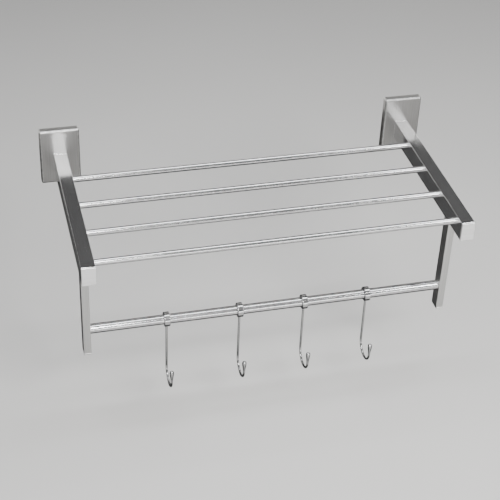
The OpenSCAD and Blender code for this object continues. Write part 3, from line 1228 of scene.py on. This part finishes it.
@dataclass
class SlidingHook(Assembly):
    """A polished ring that turns on a nylon liner on the rail, with a hook of thick wire below."""

    rods: RodMaker
    number: int = 1
    liner_lip: float = 0.9 * MM
    liner_gap: float = 0.05 * MM
    recess_depth: float = 0.9 * MM
    recess_chamfer: float = 0.15 * MM
    edge_round: float = 0.7 * MM
    edge_guard: float = 0.25 * MM
    wire: float = 3.6 * MM
    seat: float = 1.6 * MM
    drop: float = 96.0 * MM
    bend: float = 22.0 * MM
    tip_rise: float = 22.0 * MM
    tip: float = 7.2 * MM
    braze: float = 0.9 * MM
    braze_sink: float = 0.25 * MM
    braze_rim: float = 0.1 * MM
    braze_guard: float = 1.0 * MM

    def build(self) -> None:
        """Builds the ring and the wire, and keeps the liner."""
        self.keep(f"hook_liner_{self.number}")
        self.adopt(self._ring(), f"hook_{self.number}", f"hook_ring_{self.number}")
        self.adopt(self._hook(), f"hook_{self.number}", f"hook_wire_{self.number}")

    def _ring(self) -> bpy.types.Object:
        """Turns the ring's rounded profile about the rail."""
        node = f"hook_ring_{self.number}"
        middle, span = centre_of(node), span_of(node)
        radius, half = span.y / 2, span.x / 2
        recess = span_of(f"hook_liner_{self.number}").y / 2 + self.liner_gap
        bore = recess - self.liner_lip
        right = [(0.0, radius), (half - self.edge_round - self.edge_guard, radius)]
        right += [(half - end, radius - inset) for end, inset in quarter(self.edge_round, steps=6)]
        right += [(half, radius - self.edge_round - self.edge_guard / 2)]
        right += [(half, recess + self.recess_chamfer), (half - self.recess_chamfer, recess)]
        right += [(half - self.recess_depth, recess)]
        right += [(half - self.recess_depth, bore)]
        profile = [(-x, r) for x, r in reversed(right[1:])] + right
        count = 96
        turns = [2 * math.pi * i / count for i in range(count)]
        rings = [
            [Vector((middle.x + x, middle.y + r * math.cos(t), middle.z + r * math.sin(t))) for t in turns]
            for x, r in profile
        ]
        ring = Solid()
        ring.loft(rings, closed=True)
        return ring.finish(f"ring_{self.number}")

    def _hook(self) -> bpy.types.Object:
        """Sweeps the wire down from the ring, round the bend and up to its thick tip."""
        ring, size = centre_of(f"hook_ring_{self.number}"), span_of(f"hook_ring_{self.number}")
        edge, thin, thick = size.z / 2, self.wire / 2, self.tip / 2
        surface = -edge + self.braze_sink
        path = [(0.0, -edge + self.seat, thin), (0.0, surface + self.braze_rim, thin + self.braze)]
        path += [(0.0, surface - down, thin + spread) for spread, down in quarter(self.braze, steps=5)]
        path += [(0.0, surface - self.braze - self.braze_guard, thin)]
        path += [(0.0, -self.drop + self.drop * share, thin) for share in (0.75, 0.5, 0.25, 0.08)]
        bend_steps, swell_steps, tip_steps = 48, 8, 10
        for i in range(bend_steps + 1):
            turn = math.pi * i / bend_steps
            ahead, down = self.bend * math.cos(turn), self.bend * math.sin(turn)
            path.append((-self.bend + ahead, -self.drop - down, thin))
        front, neck = -2 * self.bend, self.tip_rise - thick
        for i in range(1, swell_steps + 1):
            share = i / swell_steps
            eased = share * share * (3 - 2 * share)
            path.append((front, -self.drop + neck * share, thin + (thick - thin) * eased))
        # The last ring stops 0.4 of a step short of the point, so that the tip ends in a tiny flat.
        for i in range(1, tip_steps + 1):
            turn = math.pi / 2 * i / (tip_steps + 0.4)
            path.append((front, -self.drop + neck + thick * math.sin(turn), thick * math.cos(turn)))
        guide = [(ring + Vector((0, y, z)), radius) for y, z, radius in path]
        return self.rods.make(f"wire_{self.number}", guide, self.wardrobe.by_slot["hook_steel"], sides=40)


# ---------------------------------------------------------------------------
# Stage
# ---------------------------------------------------------------------------


@dataclass(frozen=True)
class SoftBox:
    """A soft rectangular light: its place, aim, size, power and tint, and what it lights."""

    name: str
    place: tuple[float, float, float]
    aim: tuple[float, float, float]
    size: Point2
    power: float
    tint: Tone = (1.0, 1.0, 1.0)
    in_steel: bool = True
    on_matt: bool = True

    def hang(self) -> None:
        """Adds the light to the scene."""
        data = bpy.data.lights.new(self.name, "AREA")
        data.shape = "RECTANGLE"
        data.size, data.size_y = self.size
        data.energy = self.power
        data.color = self.tint
        lamp = bpy.data.objects.new(self.name, data)
        lamp.location = self.place
        lamp.visible_glossy = self.in_steel
        lamp.visible_diffuse = self.on_matt
        lamp.rotation_euler = (Vector(self.aim) - Vector(self.place)).to_track_quat("-Z", "Y").to_euler()
        bpy.context.scene.collection.objects.link(lamp)


@dataclass(frozen=True)
class Card:
    """A matt card that polished steel reflects: its long edges as Y and Z, its tone and half length."""

    name: str
    near: Point2
    far: Point2
    tone: Tone
    half: float = 1.6

    def corners(self) -> list[tuple[float, Point2]]:
        """The X of each corner, with the edge that it is on."""
        left, right = -self.half, self.half
        return [(left, self.near), (right, self.near), (right, self.far), (left, self.far)]


# The cards' places, in metres: how far behind the wall's face they stand, the height of the lowest
# one, and the top of the pale one, which brightens the tops of the arms near their covers.
CARD_WALL = 0.04
CARD_FLOOR = -0.343
BOUNCE_TOP = 0.078
DARK_CARD: Tone = (0.06, 0.06, 0.061)


@dataclass
class Studio:
    """A pale floor, a soft grey surround, the soft boxes, and the cards that the steel reflects."""

    floor_drop: float = 60.0 * MM
    floor_half: float = 20.0
    floor_tone: Tone = (0.63, 0.626, 0.617)
    floor_patches: float = 0.96
    low_sky: Tone = (0.13, 0.13, 0.132)
    high_sky: Tone = (0.32, 0.32, 0.325)
    cards: tuple[Card, ...] = (
        Card("floor_card", (-0.36, CARD_FLOOR), (CARD_WALL, CARD_FLOOR), DARK_CARD),
        Card("low_card", (CARD_WALL, CARD_FLOOR), (CARD_WALL, 0.0), DARK_CARD),
        Card("bounce_card", (CARD_WALL, 0.0), (CARD_WALL, BOUNCE_TOP), (0.85, 0.85, 0.84)),
        Card("high_card", (CARD_WALL, BOUNCE_TOP), (CARD_WALL, 0.50), DARK_CARD),
    )
    boxes: tuple[SoftBox, ...] = (
        SoftBox(
            "key", (0.75, -1.85, 1.5), (0.0, -0.1, 0.0), (1.2, 0.9), 80.0, (1.0, 0.985, 0.96), in_steel=False,
        ),
        SoftBox("left_strip", (-0.26, -1.85, 1.40), (-0.3, -0.05, 0.0), (0.30, 0.8), 38.0, on_matt=False),
        SoftBox("right_strip", (1.24, -1.85, 1.40), (0.3, -0.05, 0.0), (0.30, 0.8), 25.0, on_matt=False),
        SoftBox("fill", (-1.3, -1.5, 1.2), (0.0, -0.2, -0.1), (1.2, 1.0), 8.0),
        SoftBox("front", (0.1, -2.5, -0.05), (0.0, -0.2, -0.1), (2.0, 0.5), 17.0),
        SoftBox("overhead", (0.0, -0.12, 1.35), (0.0, -0.15, 0.0), (1.8, 0.5), 22.0, (0.97, 0.985, 1.0)),
    )

    def build(self) -> None:
        """Lays the floor, stands the cards, paints the surround and hangs the lights."""
        self._floor()
        self._cards()
        self._surround()
        for box in self.boxes:
            box.hang()

    def _floor(self) -> None:
        """Lays the floor below the hooks."""
        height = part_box("hook_wire_1")[0].z - self.floor_drop
        bm = bmesh.new()
        bmesh.ops.create_grid(bm, x_segments=24, y_segments=24, size=self.floor_half)
        bmesh.ops.translate(bm, verts=bm.verts, vec=(0, 0, height))
        floor = object_of("floor", bm)
        material, tree, shader = blank_material("pale_floor")
        shader.inputs["Roughness"].default_value = 0.9
        shader.inputs["Specular IOR Level"].default_value = 0.2
        point = tree.add("ShaderNodeTexCoord").outputs["Object"]
        cloudy = tree.remap(tree.noise(point, 1.3, 2.0), (0.3, 0.7), (0.0, 1.0))
        darker = tuple(self.floor_patches * part for part in self.floor_tone)
        tree.link(tree.mix(cloudy, self.floor_tone, darker), shader.inputs["Base Color"])
        floor.data.materials.append(material)

    def _cards(self) -> None:
        """Stands the cards where the wall would be, seen only in reflections."""
        for card in self.cards:
            bm = bmesh.new()
            bm.faces.new([bm.verts.new((x, *end)) for x, end in card.corners()])
            board = object_of(card.name, bm)
            board.visible_camera = False
            board.visible_diffuse = False
            board.visible_shadow = False
            board.visible_transmission = False
            material, _, shader = blank_material(card.name)
            shader.inputs["Base Color"].default_value = (*card.tone, 1.0)
            shader.inputs["Roughness"].default_value = 1.0
            shader.inputs["Specular IOR Level"].default_value = 0.0
            board.data.materials.append(material)

    def _surround(self) -> None:
        """Paints the surround, darker at the horizon than overhead."""
        world = bpy.data.worlds.new("studio")
        world.use_nodes = True
        tree = Tree(world.node_tree)
        split = tree.add("ShaderNodeSeparateXYZ")
        tree.link(tree.add("ShaderNodeTexCoord").outputs["Generated"], split.inputs["Vector"])
        rise = tree.remap(split.outputs["Z"], (0.0, 0.9), (0.0, 1.0))
        shade = tree.mix(rise, self.low_sky, self.high_sky)
        back = world.node_tree.nodes["Background"]
        tree.link(shade, back.inputs["Color"])
        back.inputs["Strength"].default_value = 1.0
        bpy.context.scene.world = world


@dataclass
class Viewpoint:
    """The camera: where it stands, where it looks, how far it leans and how long its lens is."""

    place: tuple[float, float, float] = (-0.48211, -1.86640, 1.16249)
    forward: tuple[float, float, float] = (0.22617, 0.77896, -0.58487)
    lean: float = 2.978
    lens: float = 93.82
    shift: Point2 = (-0.0241, -0.0109)

    def build(self) -> None:
        """Adds the camera and makes it the scene's."""
        data = bpy.data.cameras.new("camera")
        data.lens = self.lens
        data.sensor_width = 36.0
        data.shift_x, data.shift_y = self.shift
        data.clip_start = 0.05
        data.clip_end = 60.0
        camera = bpy.data.objects.new("camera", data)
        look = Vector(self.forward).normalized()
        right = look.cross(Vector((0, 0, 1))).normalized()
        up = right.cross(look)
        turn = math.radians(self.lean)
        leaned = right * math.cos(turn) + up * math.sin(turn)
        raised = up * math.cos(turn) - right * math.sin(turn)
        axes = Matrix((leaned, raised, -look)).transposed()
        camera.matrix_world = Matrix.Translation(Vector(self.place)) @ axes.to_4x4()
        bpy.context.scene.collection.objects.link(camera)
        bpy.context.scene.camera = camera


def write_sizes() -> None:
    """Updates the view layer, so that the boxes of all pieces are current."""
    bpy.context.view_layer.update()


def main() -> None:
    """Builds the rack from the wall outwards, then the stage and the camera."""
    logging.basicConfig(level=logging.INFO, format="%(name)s %(message)s")
    wardrobe = Wardrobe()
    rods = RodMaker()
    for side in Side:
        WallFixing(wardrobe, side=side).build()
        ShelfArm(wardrobe, side=side).build()
        DropBar(wardrobe, side=side).build()
    CrossBars(wardrobe, rods=rods).build()
    for number in range(1, HOOKS + 1):
        SlidingHook(wardrobe, rods=rods, number=number).build()
    Studio().build()
    Viewpoint().build()
    write_sizes()


if __name__ == "__main__":
    main()
